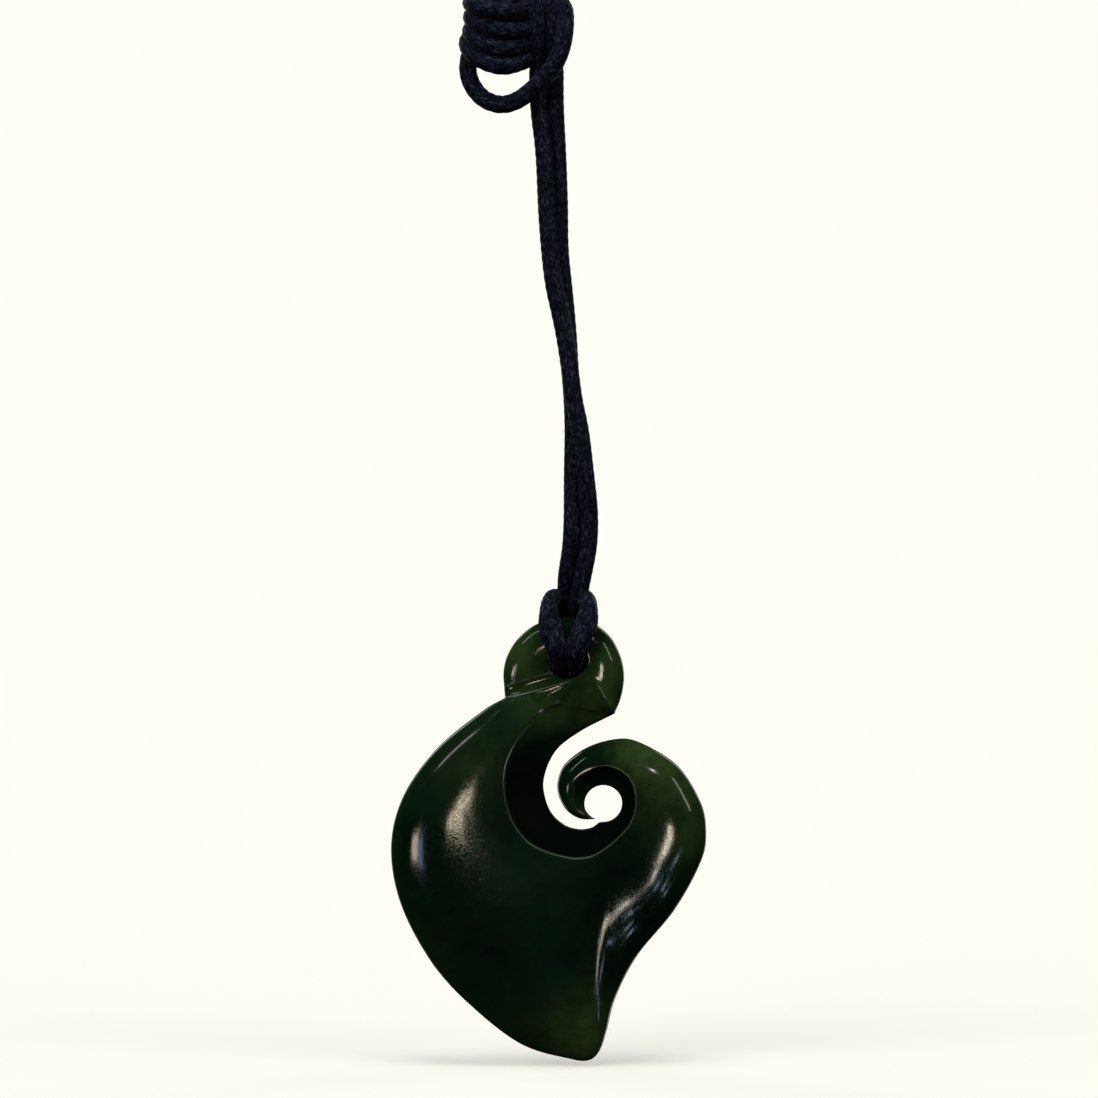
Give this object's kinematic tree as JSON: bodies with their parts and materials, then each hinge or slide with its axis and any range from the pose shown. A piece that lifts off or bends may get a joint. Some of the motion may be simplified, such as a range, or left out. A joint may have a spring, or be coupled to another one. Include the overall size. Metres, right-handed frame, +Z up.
{
  "type": "koru pendant necklace",
  "caption": "Carved green stone spiral pendant with a through slot, hung by a lark's head hitch on a knotted black braided cord that closes round the neck.",
  "frame": {"origin": "the underside of the clasp, where the necklace rests on the nape of the neck", "axes": "+Z up, with the pendant hanging along -Z; the carved face looks along -Y; +X to the viewer's right"},
  "size_m": [0.1506, 0.0082, 0.2273],
  "materials": {
    "stone": "polished nephrite jade",
    "cord": "satin braided nylon",
    "clasp_metal": "turned and brushed"
  },
  "bodies": {
    "root": {"pendant": "stone", "cord_hitch": "cord", "cord_leg_left": "cord", "cord_leg_right": "cord", "cord_knot": "cord", "cord_slack_loop": "cord", "neck_cord_left": "cord", "neck_cord_right": "cord", "barrel_clasp": "clasp_metal"}
  },
  "joints": []
}
